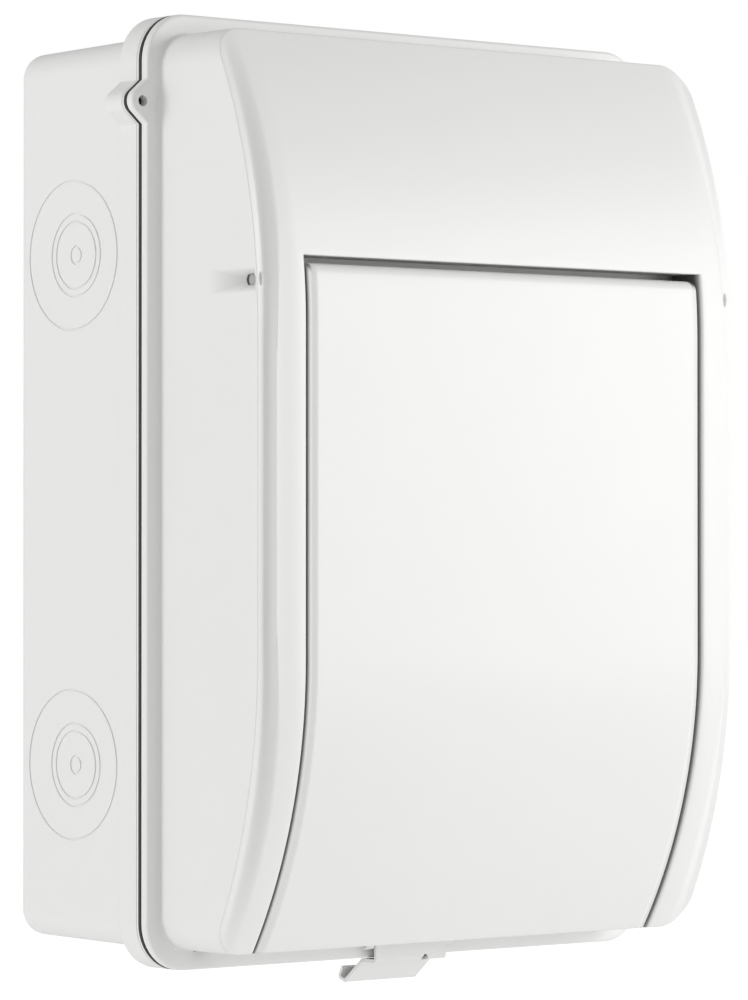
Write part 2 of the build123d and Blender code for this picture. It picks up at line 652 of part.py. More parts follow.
def bus_bar(side):
    """Flat bar with a stab for each breaker row and one under the main breaker."""
    x = side * BUS_BAR_X
    low = ROW_Z[-1] - BREAKER_PITCH / 2 + 3.0
    high = MAIN_BOTTOM + 18.0
    bar = block(x - BUS_BAR_WIDTH / 2, x + BUS_BAR_WIDTH / 2, BUS_FRONT, BAR_FRONT, low, high)
    for z in ROW_Z + [MAIN_BOTTOM + 8.0]:
        bar += block(
            x - STAB_WIDTH / 2,
            x + STAB_WIDTH / 2,
            BAR_FRONT - 0.5,
            BAR_FRONT + STAB_RISE,
            z - STAB_THICKNESS / 2,
            z + STAB_THICKNESS / 2,
        )
    return bar


def stab_slot(side, z):
    """Jaw in the foot of a breaker for one stab, with room all round."""
    x = side * BUS_BAR_X
    gap = 0.5
    return block(
        x - STAB_WIDTH / 2 - gap,
        x + STAB_WIDTH / 2 + gap,
        BREAKER_BASE - 1.0,
        BAR_FRONT + STAB_RISE + gap,
        z - STAB_THICKNESS / 2 - gap,
        z + STAB_THICKNESS / 2 + gap,
    )


def hook_rails():
    """Two rails whose lips hold the outer feet of the breakers."""
    low = ROW_Z[-1] - BREAKER_PITCH / 2
    high = ROW_Z[0] + BREAKER_PITCH / 2
    outer = BREAKER_END + 1.0 + RAIL_SHEET
    rails = []
    for side in (-1, 1):
        x1, x2 = sorted((side * outer, side * (outer - RAIL_SHEET)))
        lip1, lip2 = sorted((side * outer, side * (BREAKER_END - 4.0)))
        upright = block(x1, x2, PAN_FRONT, BREAKER_BASE + 12.0, low, high)
        rails.append(upright + block(lip1, lip2, BREAKER_BASE + 9.5, BREAKER_BASE + 12.0, low, high))
    return rails


def rail_notch(side, z):
    """Notch in the outer foot of a breaker for the rail lip."""
    x1, x2 = sorted((side * (BREAKER_END + 1.0), side * (BREAKER_END - 5.0)))
    return block(x1, x2, BREAKER_BASE + 8.9, BREAKER_BASE + 12.6, z - BREAKER_WIDTH, z + BREAKER_WIDTH)


def handle_space(plane):
    """Round hollow for a handle hub and its trunnions, about the plane's own origin."""
    hub = Circle(HANDLE_HUB_R + HANDLE_CLEARANCE)
    half = HANDLE_HUB_WIDTH / 2
    hollow = extrude(plane * hub, half + HANDLE_CLEARANCE, both=True)
    return hollow + extrude(plane * Circle(HANDLE_TRUNNION_R + PIN_FIT), half + HANDLE_TRUNNION, both=True)


def handle(plane, tilt):
    """Toggle: hub on two trunnions and a lever, leaning by tilt from straight out.

    The plane's x axis points straight out of the wall and its z axis is the toggle's axis.
    """
    half = HANDLE_HUB_WIDTH / 2
    length = HANDLE_REACH - HANDLE_AXIS_REACH
    lever = Rot(0, 0, tilt) * Pos(length / 2, 0) * RectangleRounded(length, HANDLE_LEVER, 1.5)
    body = extrude(plane * Circle(HANDLE_HUB_R), half, both=True)
    body += extrude(plane * lever, half - 1.5, both=True)
    return body + extrude(plane * Circle(HANDLE_TRUNNION_R), half + HANDLE_TRUNNION - 0.2, both=True)


def branch_plane(side, z):
    """Toggle plane of a branch breaker: its axis is upright, its handle swings sideways."""
    return Plane(origin=(side * HANDLE_X, -HANDLE_AXIS_REACH, z), x_dir=(0, -1, 0), z_dir=(0, 0, 1))


def main_plane():
    """Toggle plane of the main breaker: its axis is level, its handle swings up and down."""
    return Plane(origin=(0, -HANDLE_AXIS_REACH, MAIN_Z), x_dir=(0, -1, 0), z_dir=(1, 0, 0))


def branch_case(side, z):
    """Plug-in breaker: stepped foot with a wire screw, nose with the toggle slot."""
    half = BREAKER_WIDTH / 2
    low, high = sorted((side * BREAKER_CENTRE_GAP, side * (BREAKER_END - BREAKER_STEP)))
    case = block(low, high, BREAKER_BASE, BREAKER_FACE, z - half, z + half)
    step_low, step_high = sorted((side * (BREAKER_END - BREAKER_STEP - 1.0), side * BREAKER_END))
    case += block(step_low, step_high, BREAKER_BASE, BREAKER_STEP_REACH, z - half, z + half)
    nose_x = side * HANDLE_X
    case += plate(
        NOSE_LENGTH, BREAKER_WIDTH - 4.0, 1.5, BREAKER_FACE - 1.0, BREAKER_NOSE + 1.0, nose_x, z
    )
    case -= handle_space(branch_plane(side, z))
    case -= plate(
        HANDLE_SLOT, HANDLE_HUB_WIDTH + 0.6, 1.0, HANDLE_AXIS_REACH, 20.0, nose_x, z
    )
    case -= stab_slot(side, z)
    case -= rail_notch(side, z)
    screw_x = side * (BREAKER_END - BREAKER_STEP / 2)
    case -= peg(screw_x, z, SMALL_SHANK_R + SCREW_FIT, BREAKER_STEP_REACH - 10.0, BREAKER_STEP_REACH)
    x1, x2 = sorted((side * (BREAKER_END - 12.0), side * (BREAKER_END + 1.0)))
    wire_way = block(x1, x2, BREAKER_STEP_REACH - 9.0, BREAKER_STEP_REACH - 3.0, z - 4.0, z + 4.0)
    return case - wire_way


def branch_screws():
    screws = []
    for side in (-1, 1):
        x = side * (BREAKER_END - BREAKER_STEP / 2)
        screws += [screw(x, z, BREAKER_STEP_REACH, 8.0) for z in ROW_Z]
    return screws


def main_case():
    """Two-pole main breaker with a nose, a toggle slot and recesses for the line lugs."""
    half = MAIN_WIDTH / 2
    top = MAIN_BOTTOM + MAIN_HEIGHT
    case = block(-half, half, BREAKER_BASE, BREAKER_FACE, MAIN_BOTTOM, top)
    case += plate(NOSE_LENGTH, NOSE_LENGTH + 6.0, 2.0, BREAKER_FACE - 1.0, BREAKER_NOSE + 1.0, 0.0, MAIN_Z)
    case -= handle_space(main_plane())
    case -= plate(HANDLE_HUB_WIDTH + 0.6, HANDLE_SLOT, 1.0, HANDLE_AXIS_REACH, 20.0, 0.0, MAIN_Z)
    for side in (-1, 1):
        case -= stab_slot(side, MAIN_BOTTOM + 8.0)
        x = side * LUG_X
        room = LUG_WIDTH / 2 + 0.5
        case -= block(x - room, x + room, LUG_BASE - 0.5, 200.0, top - LUG_HEIGHT, top + 1.0)
    return case


def main_lug(side):
    """Clamp lug for one line conductor, with its wire way along Z and its screw bore."""
    x = side * LUG_X
    top = MAIN_BOTTOM + MAIN_HEIGHT
    low = top - LUG_HEIGHT + 0.5
    lug = block(x - LUG_WIDTH / 2, x + LUG_WIDTH / 2, LUG_BASE, LUG_BASE + LUG_TALL, low, top)
    wire_plane = Plane(origin=(x, -(LUG_BASE + LUG_BORE_R + 2.5), low), z_dir=(0, 0, 1))
    lug -= extrude(wire_plane * Circle(LUG_BORE_R), LUG_HEIGHT)
    return lug - peg(x, (low + top) / 2, SMALL_SHANK_R + SCREW_FIT, LUG_BASE + 10.0, LUG_BASE + LUG_TALL)


def main_lug_screws():
    z = MAIN_BOTTOM + MAIN_HEIGHT - LUG_HEIGHT / 2 + 0.25
    return [screw(side * LUG_X, z, LUG_BASE + LUG_TALL, 10.0) for side in (-1, 1)]


def bar_screw_places(centre, length):
    count = int((length - 16.0) // BAR_SCREW_PITCH)
    return [centre + (n - (count - 1) / 2) * BAR_SCREW_PITCH for n in range(count)]


def terminal_bar(x, centre, length, start):
    """Square bar with cross wire holes and a row of clamp screws from the front."""
    half = BAR_SIZE / 2
    bar = block(x - half, x + half, start, start + BAR_SIZE, centre - length / 2, centre + length / 2)
    for z in bar_screw_places(centre, length):
        bar -= peg(x, z, BAR_SCREW_R, start + BAR_SIZE / 2, start + BAR_SIZE)
        bar -= cross_pin(x - half, x + half, start + BAR_SIZE / 2 - 0.5, z, BAR_SCREW_R + 0.4)
    return bar


def terminal_screws(x, centre, length, start):
    """Headless-looking clamp screws, standing proud of the bar and slotted."""
    top = start + BAR_SIZE
    screws = []
    for z in bar_screw_places(centre, length):
        body = peg(x, z, BAR_SCREW_R, top - 2.2, top + 3.0)
        screws.append(body - block(x - 3.0, x + 3.0, top + 2.0, top + 4.0, z - 0.4, z + 0.4))
    return screws


def neutral_standoffs():
    """Insulating feet under both ends of the neutral bar."""
    half = BAR_SIZE / 2
    feet = []
    for end in (-1, 1):
        z = NEUTRAL_Z + end * (NEUTRAL_LENGTH / 2 - 5.0)
        top = PAN_FRONT + NEUTRAL_STANDOFF
        feet.append(block(NEUTRAL_X - half, NEUTRAL_X + half, PAN_FRONT, top, z - 5.0, z + 5.0))
    return feet


def dead_front():
    """Inner cover plate with cut-outs for the breaker noses."""
    width = INNER_WIDTH - 2 * DEAD_FRONT_GAP
    height = INNER_HEIGHT - 2 * DEAD_FRONT_GAP
    face = plate(width, height, BOX_CORNER_R - BOX_WALL, DEAD_FRONT_REACH, DEAD_FRONT_SHEET)
    gap = 2 * DEAD_FRONT_CUT_GAP
    for z in ROW_Z:
        for side in (-1, 1):
            face -= plate(
                NOSE_LENGTH + gap,
                BREAKER_WIDTH - 4.0 + gap,
                1.5,
                DEAD_FRONT_REACH,
                DEAD_FRONT_SHEET,
                side * HANDLE_X,
                z,
            )
    face -= plate(
        NOSE_LENGTH + gap, NOSE_LENGTH + 6.0 + gap, 2.0, DEAD_FRONT_REACH, DEAD_FRONT_SHEET, 0.0, MAIN_Z
    )
    for x, z in four_corners(POST_X, POST_Z):
        face -= peg(x, z, SMALL_SHANK_R + SCREW_FIT, DEAD_FRONT_REACH, DEAD_FRONT_REACH + DEAD_FRONT_SHEET)
    return face


def dead_front_screws():
    seat = DEAD_FRONT_REACH + DEAD_FRONT_SHEET
    return [screw(x, z, seat, 12.0) for x, z in four_corners(POST_X, POST_Z)]


# ---------------------------------------------------------------- the whole assembly
def nodes():
    """Every node's name and its solid, or its list of solids."""
    neutral_start = PAN_FRONT + NEUTRAL_STANDOFF
    parts = {
        "back_box": back_box(),
        "cover_gasket": cover_gasket(),
        "cover_hinge_pins": cover_hinge_pins(),
        "interior_pan": interior_pan(),
        "pan_screws": pan_screws(),
        "bus_base": bus_base(),
        "bus_bar_left": bus_bar(-1),
        "bus_bar_right": bus_bar(1),
        "hook_rails": hook_rails(),
        "main_breaker_case": main_case(),
        "main_breaker_handle": handle(main_plane(), -HANDLE_TILT),
        "main_lugs": [main_lug(-1), main_lug(1)],
        "main_lug_screws": main_lug_screws(),
        "branch_terminal_screws": branch_screws(),
        "neutral_bar": terminal_bar(NEUTRAL_X, NEUTRAL_Z, NEUTRAL_LENGTH, neutral_start),
        "neutral_bar_screws": terminal_screws(NEUTRAL_X, NEUTRAL_Z, NEUTRAL_LENGTH, neutral_start),
        "neutral_standoffs": neutral_standoffs(),
        "ground_bar": terminal_bar(GROUND_X, GROUND_Z, GROUND_LENGTH, PAN_FRONT),
        "ground_bar_screws": terminal_screws(GROUND_X, GROUND_Z, GROUND_LENGTH, PAN_FRONT),
        "dead_front": dead_front(),
        "dead_front_screws": dead_front_screws(),
        "front_cover": front_cover(),
        "door_seal": door_seal(),
        "door_hinge_pins": door_hinge_pins(),
        "inspection_door": inspection_door(),
        "latch_clip": latch_clip(),
        "latch_pin": latch_pin(),
    }
    for side, column in ((-1, "left"), (1, "right")):
        for row, z in enumerate(ROW_Z, start=1):
            parts[f"breaker_case_{column}_{row}"] = branch_case(side, z)
            parts[f"breaker_handle_{column}_{row}"] = handle(branch_plane(side, z), -side * HANDLE_TILT)
    return parts


os.makedirs("parts", exist_ok=True)
for name, shape in nodes().items():
    solids = shape if isinstance(shape, list) else shape.solids()
    result = solids[0] if len(solids) == 1 else Compound(children=list(solids))
    export_step(result, f"parts/{name}.step")
    print(name, len(solids))
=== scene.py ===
"""Looks of the breaker panel box: moulded shells, finishes, light and camera round the CAD frame.

The object's sizes are in millimetres, and MM turns them into metres. The lights, the camera and the
floor's drop are in metres. x is to the right, z is up, and "reach" is the distance out from the
wall, so a point of reach r lies at y = -r.
"""
import json
import math

import bmesh
import bpy
import numpy as np
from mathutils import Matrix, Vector


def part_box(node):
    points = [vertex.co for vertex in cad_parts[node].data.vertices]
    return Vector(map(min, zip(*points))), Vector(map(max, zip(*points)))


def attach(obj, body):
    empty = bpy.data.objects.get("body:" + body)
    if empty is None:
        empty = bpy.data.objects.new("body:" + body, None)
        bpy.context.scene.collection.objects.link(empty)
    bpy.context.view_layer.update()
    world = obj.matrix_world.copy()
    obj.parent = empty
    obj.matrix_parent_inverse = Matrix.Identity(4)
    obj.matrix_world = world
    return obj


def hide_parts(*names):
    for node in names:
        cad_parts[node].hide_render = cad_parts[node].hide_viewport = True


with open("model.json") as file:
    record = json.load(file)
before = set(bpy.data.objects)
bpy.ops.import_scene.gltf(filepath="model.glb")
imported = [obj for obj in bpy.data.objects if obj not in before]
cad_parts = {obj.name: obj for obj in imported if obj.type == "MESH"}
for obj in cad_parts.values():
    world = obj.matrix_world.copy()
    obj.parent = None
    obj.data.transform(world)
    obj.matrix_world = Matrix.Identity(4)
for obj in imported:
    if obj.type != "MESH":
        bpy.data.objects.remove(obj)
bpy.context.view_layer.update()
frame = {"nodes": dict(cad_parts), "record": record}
MM = 0.001


def mm_box(node):
    """Lowest and highest corner of a CAD node, in millimetres."""
    low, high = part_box(node)
    return np.array(low) / MM, np.array(high) / MM


# ---------------------------------------------------------------- sizes shared with the CAD
GASKET_LOW, GASKET_HIGH = mm_box("cover_gasket")
DOOR_HIGH = mm_box("inspection_door")[1]
SEAT_CLEARANCE = 0.3
FLANGE_THICKNESS = 4.0
FLANGE_BACK = -GASKET_LOW[1] + SEAT_CLEARANCE
FLANGE_FRONT = FLANGE_BACK + FLANGE_THICKNESS
FLANGE_HALF_Z = GASKET_HIGH[2]
FLANGE_HALF_X = 138.0
FLANGE_CORNER = 20.0
FLANGE_ROUND = 1.3
FLANGE_BACK_ROUND = 0.5
LOBE_Z = 160.0
LOBE_R = 5.5
LOBE_OUT = 2.2
LOBE_HALF = 12.5
LOBE_ROOT = 4.0
LOBE_HOLE_R = 2.3
LOBE_SPAN = 13.0
COVER_HALF_X = 131.5
COVER_HALF_Z = 188.5
COVER_CORNER = 14.0
COVER_WALL = 2.8
CREST = (64.3, 34.0)
CROWN = (69.3, 34.6)
FLAT_HALF = 68.0
RECESS_HALF_X = 110.0
RECESS_TOP = 95.0
RECESS_DEPTH = 17.0
WINDOW_HALF_X = 100.0
WINDOW_TOP = 74.0
WINDOW_BOTTOM = -172.0
DOOR_HALF_X = DOOR_HIGH[0]
DOOR_TOP = DOOR_HIGH[2]
DOOR_PIN_REACH = 164.3
DOOR_PIN_Z = 84.5
DOOR_PIN_HOLE_R = 2.7
PIN_SEAT_R = 2.65
COVER_PIN_REACH = 91.0
COVER_PIN_Z = 193.2
COVER_EAR_X = 85.0
COVER_EAR_HALF = 12.0
COVER_EAR_R = 3.0
LATCH_PIN_REACH = 106.8
LATCH_PIN_Z = -191.1
LATCH_HALF = 19.5
LATCH_EAR_GAP = 0.4
LATCH_EAR_END = 4.9


# ---------------------------------------------------------------- shape formulas
def smooth(start, end, value):
    """Smoothstep: 3t^2 - 2t^3 with t the share of the way from start to end, held at 0 and 1."""
    t = np.clip((value - start) / (end - start), 0.0, 1.0)
    return t * t * (3.0 - 2.0 * t)


def eased(inside, radius):
    """Fall of a quarter-round edge: radius minus the circle's height, inside millimetres in."""
    short = radius - np.clip(inside, 0.0, radius)
    return radius - np.sqrt(np.maximum(radius**2 - short**2, 0.0))


def bow(levels, z):
    """Bowed line above the flange: level over the flat middle, then a tangent arc to the end."""
    middle, end = levels
    run = COVER_HALF_Z - FLAT_HALF
    fall = middle - end
    radius = (run**2 + fall**2) / (2.0 * fall)
    out = np.clip(np.abs(z) - FLAT_HALF, 0.0, run)
    return middle - (radius - np.sqrt(radius**2 - out**2))


def rounded_distance(x, z, half_x, half_z, corner):
    """Distance in from the edge of a rounded rectangle, positive inside it."""
    over_x = np.abs(x) - (half_x - corner)
    over_z = np.abs(z) - (half_z - corner)
    outside = np.hypot(np.maximum(over_x, 0.0), np.maximum(over_z, 0.0))
    return corner - outside - np.minimum(np.maximum(over_x, over_z), 0.0)


def rounded_half_width(z, half_x, half_z, corner):
    """Half the width of a rounded rectangle at height z."""
    over = np.clip(np.abs(z) - (half_z - corner), 0.0, corner)
    return half_x - corner + np.sqrt(corner**2 - over**2)


RIM = 3.2
RIM_DIP = 0.2
RISER_WIDTH = 3.6
RISER_SPREAD = 4.0
RISER_SHARE = 0.8
SLOPE_END = 18.5
COVER_EDGE = 0.45
PIN_CELLS = (79.5, 89.5)
PIN_LEVELS = 4
PIN_CUP = 0.75
PIN_RINGS = (0.3, 0.15, 0.0)
# Painted shade: a dark olive tone mixed into the plastic, deeper down in the door gap and in a ring round
# the door pins' holes, standing in for the shadow there.
GAP_SHADE_DEPTH = (0.5, 2.2)
GAP_SHADE_BESIDE = 4.0
PIN_SHADE_FADE = (0.1, 0.4)
PIN_SHADE_BAND = 0.9
PAINTED_SHADE_TONE = (0.06, 0.06, 0.035, 1.0)
PAINTED_SHADE_STRENGTH = 0.82
RECESS_SIDE_EDGE = 1.2
RECESS_HEAD_EDGE = 0.6


def riser(inward, z):
    """Share of the way from crest to crown, inward from the outline: level over the rim, a cove
    t^1.35 that widens and softens to a smoothstep towards the ends, then a long gentle slope."""
    end = smooth(55.0, 150.0, np.abs(z))
    width = RISER_WIDTH + RISER_SPREAD * end
    t = np.clip((inward - RIM) / width, 0.0, 1.0)
    cove = (1.0 - end) * t**1.35 + end * smooth(0.0, 1.0, t)
    return RISER_SHARE * cove + (1.0 - RISER_SHARE) * smooth(RIM + 2.0, SLOPE_END, inward)


def recess_fall(x, z):
    """Quarter-round edges of the door recess, broader at the sides than at the head."""
    past_x = np.maximum(np.abs(x) - RECESS_HALF_X, 0.0)
    past_z = np.maximum(z - RECESS_TOP, 0.0)
    beside = (np.abs(x) >= RECESS_HALF_X) & (z <= RECESS_TOP)
    share = np.where(beside, 1.0, past_x / np.maximum(past_x + past_z, 1e-6))
    radius = RECESS_HEAD_EDGE + (RECESS_SIDE_EDGE - RECESS_HEAD_EDGE) * share
    return radius * eased(np.hypot(past_x / RECESS_SIDE_EDGE, past_z / RECESS_HEAD_EDGE), 1.0)


def cover_reach(x, z):
    """Front of the cover: crest plus riser times (crown - crest), less its quarter-round edges and
    a slight inward lean of the rim."""
    crest = bow(CREST, z)
    rise = bow(CROWN, z) - crest
    inward = COVER_HALF_X - np.abs(x)
    dip = RIM_DIP * np.clip(inward / RIM, 0.0, 1.0) * (1.0 - smooth(RIM, RIM + RISER_WIDTH, inward))
    reach = FLANGE_FRONT + crest - dip + rise * riser(inward, z)
    reach -= eased(rounded_distance(x, z, COVER_HALF_X, COVER_HALF_Z, COVER_CORNER), COVER_EDGE)
    return reach - recess_fall(x, z)


DOOR_SIDE_EDGE = 0.9
DOOR_TOP_EDGE = 4.4
DOOR_FOOT_EDGE = 0.7
DOOR_RIM = 1.5
DOOR_RIM_DROP = 0.9
DOOR_RISER = 3.0
DOOR_SKIRT = 15.0
DOOR_PLATE = 3.0
DOOR_WALL = 2.6
SKIRT_START = (60.0, 74.0)


def door_reach(x, z):
    """Front of the door: the crown, lower by DOOR_RIM_DROP along a rim at each side and led up
    from it by a smoothstep, less quarter-round edges."""
    side = DOOR_HALF_X - np.abs(x)
    rim = DOOR_RIM_DROP * (1.0 - smooth(DOOR_RIM, DOOR_RIM + DOOR_RISER, side))
    reach = FLANGE_FRONT + bow(CROWN, z) - rim
    reach -= eased(side, DOOR_SIDE_EDGE) + eased(z + COVER_HALF_Z, DOOR_FOOT_EDGE)
    return reach - eased(DOOR_TOP - z, DOOR_TOP_EDGE)


# ---------------------------------------------------------------- meshes
def points(x, reach, z):
    """Grid of points from three arrays that broadcast together."""
    x, reach, z = np.broadcast_arrays(x, reach, z)
    return np.stack([x, -reach, z], axis=-1)


def grid_faces(rows, columns, keep=None, start=0):
    """Four-sided faces of a grid of points; keep leaves out cells."""
    index = start + np.arange(rows * columns).reshape(rows, columns)
    quads = np.stack([index[:-1, :-1], index[1:, :-1], index[1:, 1:], index[:-1, 1:]], axis=-1)
    return quads[keep] if keep is not None else quads.reshape(-1, 4)


class Sheets:
    """Grids of points collected into one mesh."""

    def __init__(self):
        self.spots = []
        self.faces = []
        self.count = 0

    def add(self, grid, keep=None):
        rows, columns = grid.shape[:2]
        self.faces.append(grid_faces(rows, columns, keep, self.count))
        self.spots.append(grid.reshape(-1, 3))
        self.count += rows * columns


def nearest_normal(mesh, spot):
    """Normal of the face whose centre lies nearest a spot in metres."""
    centres, normals = np.zeros((2, len(mesh.polygons) * 3))
    mesh.polygons.foreach_get("center", centres)
    mesh.polygons.foreach_get("normal", normals)
    distance = np.linalg.norm(centres.reshape(-1, 3) - spot, axis=-1)
    return normals.reshape(-1, 3)[np.argmin(distance)]


def new_mesh(name, sheets, facing=None):
    """One welded mesh in metres. Its faces point outwards: a closed one is worked out, and an open
    one is turned so that the face nearest the point facing looks away from the wall."""
    mesh = bpy.data.meshes.new(name)
    mesh.from_pydata(np.concatenate(sheets.spots) * MM, [], np.concatenate(sheets.faces).tolist())
    shape = bmesh.new()
    shape.from_mesh(mesh)
    bmesh.ops.remove_doubles(shape, verts=shape.verts, dist=0.004 * MM)
    bmesh.ops.dissolve_degenerate(shape, edges=shape.edges, dist=0.002 * MM)
    bmesh.ops.recalc_face_normals(shape, faces=shape.faces)
    shape.to_mesh(mesh)
    if facing is not None and nearest_normal(mesh, np.array(facing) * MM)[1] > 0.0:
        bmesh.ops.reverse_faces(shape, faces=shape.faces)
        shape.to_mesh(mesh)
    shape.free()
    return mesh


SHARP = math.radians(38.0)


def applied(mesh, kind, **settings):
    """The mesh with one modifier's result kept."""
    holder = bpy.data.objects.new("holder", mesh)
    bpy.context.scene.collection.objects.link(holder)
    step = holder.modifiers.new("step", kind)
    for key, value in settings.items():
        setattr(step, key, value)
    graph = bpy.context.evaluated_depsgraph_get()
    made = bpy.data.meshes.new_from_object(holder.evaluated_get(graph))
    bpy.data.objects.remove(holder)
    return made


def thickened(mesh, wall):
    """Open sheet given a wall behind it."""
    return applied(mesh, "SOLIDIFY", thickness=wall * MM, offset=-1.0, use_even_offset=False)


def mark_painted_shade(mesh):
    """Stores a painted-shade mask on the points, standing in for the shadow down in the door gap and round
    the door pins' holes: it grows with the depth below the crown beside the door gap, and close round the
    holes."""
    spots = np.zeros(len(mesh.vertices) * 3)
    mesh.vertices.foreach_get("co", spots)
    x, y, z = (spots.reshape(-1, 3) / MM).T
    depth = FLANGE_FRONT + bow(CROWN, z) + y
    beside = (np.abs(np.abs(x) - RECESS_HALF_X) < GAP_SHADE_BESIDE) & (z < RECESS_TOP + 1.0)
    gap = beside * smooth(*GAP_SHADE_DEPTH, depth)
    round_pin = np.hypot(-y - DOOR_PIN_REACH, z - DOOR_PIN_Z) - DOOR_PIN_HOLE_R
    pin = (np.abs(x) > COVER_HALF_X - PIN_SHADE_BAND) * (1.0 - smooth(*PIN_SHADE_FADE, round_pin))
    layer = mesh.attributes.new("gap_painted_shade", "FLOAT", "POINT")
    layer.data.foreach_set("value", np.clip(gap + pin, 0.0, 1.0))


def finish_piece(name, mesh, body, finish, nodes=()):
    """Makes the object of a piece, smooth but for edges sharper than SHARP, and rides it."""
    mesh.name = name
    mesh.polygons.foreach_set("use_smooth", np.ones(len(mesh.polygons), bool))
    mesh.set_sharp_from_angle(angle=SHARP)
    mesh.materials.clear()
    mesh.materials.append(FINISHES[finish])
    piece = bpy.data.objects.new(name, mesh)
    bpy.context.scene.collection.objects.link(piece)
    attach(piece, body)
    if nodes:
        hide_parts(*nodes)


# ---------------------------------------------------------------- finishes
def socket(tree, name, direction, kind, value=None):
    """Adds one named input or output to a node group."""
    made = tree.interface.new_socket(name=name, in_out=direction, socket_type=kind)
    if value is not None:
        made.default_value = value


def moulded_group():
    """Node group: a fine grain height, a broad tone drift and a roughness drift, in real sizes, and a
    painted shade mixed into the colour by the points' painted-shade mask.
    """
    tree = bpy.data.node_groups.new("moulded_skin", "ShaderNodeTree")
    socket(tree, "Tone", "INPUT", "NodeSocketColor", (0.8, 0.8, 0.8, 1.0))
    socket(tree, "Drift", "INPUT", "NodeSocketFloat", 0.02)
    socket(tree, "Grain size", "INPUT", "NodeSocketFloat", 900.0)
    socket(tree, "Gloss", "INPUT", "NodeSocketFloat", 0.4)
    socket(tree, "Gloss drift", "INPUT", "NodeSocketFloat", 0.08)
    socket(tree, "Color", "OUTPUT", "NodeSocketColor")
    socket(tree, "Roughness", "OUTPUT", "NodeSocketFloat")
    socket(tree, "Height", "OUTPUT", "NodeSocketFloat")
    nodes, links = tree.nodes, tree.links
    given = nodes.new("NodeGroupInput")
    put = nodes.new("NodeGroupOutput")
    place = nodes.new("ShaderNodeTexCoord")

    def noise(scale, detail, rough=0.5):
        made = nodes.new("ShaderNodeTexNoise")
        made.inputs["Detail"].default_value = detail
        made.inputs["Roughness"].default_value = rough
        if scale is None:
            links.new(given.outputs["Grain size"], made.inputs["Scale"])
        else:
            made.inputs["Scale"].default_value = scale
        links.new(place.outputs["Object"], made.inputs["Vector"])
        return made.outputs["Fac"]

    def math_node(kind, first, second):
        made = nodes.new("ShaderNodeMath")
        made.operation = kind
        for slot_index, value in enumerate((first, second)):
            if isinstance(value, (int, float)):
                made.inputs[slot_index].default_value = value
            else:
                links.new(value, made.inputs[slot_index])
        return made.outputs[0]

    # Painted shade: the stored mask mixes a dark tone into the colour, standing in for the shadow in the
    # door gap and round the door pins' holes.
    marked = nodes.new("ShaderNodeAttribute")
    marked.attribute_name = "gap_painted_shade"
    broad = noise(9.0, 3.0)
    fine = noise(None, 4.0, 0.6)
    cloud = noise(55.0, 4.0, 0.65)
    centred = math_node("SUBTRACT", broad, 0.5)
    speck = math_node("MULTIPLY", math_node("SUBTRACT", cloud, 0.5), 0.5)
    shift = math_node("MULTIPLY", math_node("ADD", centred, speck), given.outputs["Drift"])
    factor = math_node("ADD", shift, 1.0)
    tone = nodes.new("ShaderNodeVectorMath")
    tone.operation = "SCALE"
    links.new(given.outputs["Tone"], tone.inputs[0])
    links.new(factor, tone.inputs["Scale"])
    shaded = nodes.new("ShaderNodeMix")
    shaded.data_type = "RGBA"
    shaded.inputs["B"].default_value = PAINTED_SHADE_TONE
    links.new(math_node("MULTIPLY", marked.outputs["Fac"], PAINTED_SHADE_STRENGTH), shaded.inputs["Factor"])
    links.new(tone.outputs["Vector"], shaded.inputs["A"])
    links.new(shaded.outputs["Result"], put.inputs["Color"])
    sway = math_node("MULTIPLY", math_node("SUBTRACT", cloud, 0.5), given.outputs["Gloss drift"])
    links.new(math_node("ADD", given.outputs["Gloss"], sway), put.inputs["Roughness"])
    links.new(fine, put.inputs["Height"])
    return tree


MOULDED = moulded_group()


def moulded(name, tone, gloss, grain=900.0, depth=0.05, drift=0.02, metal=0.0, gloss_drift=0.08):
    """Material over the moulded_skin group; depth is the strength of its grain as a bump."""
    made = bpy.data.materials.new(name)
    made.use_nodes = True
    nodes, links = made.node_tree.nodes, made.node_tree.links
    shader = nodes["Principled BSDF"]
    skin = nodes.new("ShaderNodeGroup")
    skin.node_tree = MOULDED
    skin.inputs["Tone"].default_value = (*tone, 1.0)
    skin.inputs["Drift"].default_value = drift
    skin.inputs["Grain size"].default_value = grain
    skin.inputs["Gloss"].default_value = gloss
    skin.inputs["Gloss drift"].default_value = gloss_drift
    bump = nodes.new("ShaderNodeBump")
    bump.inputs["Strength"].default_value = depth
    bump.inputs["Distance"].default_value = 0.0002
    links.new(skin.outputs["Height"], bump.inputs["Height"])
    links.new(skin.outputs["Color"], shader.inputs["Base Color"])
    links.new(skin.outputs["Roughness"], shader.inputs["Roughness"])
    links.new(bump.outputs["Normal"], shader.inputs["Normal"])
    shader.inputs["Metallic"].default_value = metal
    return made


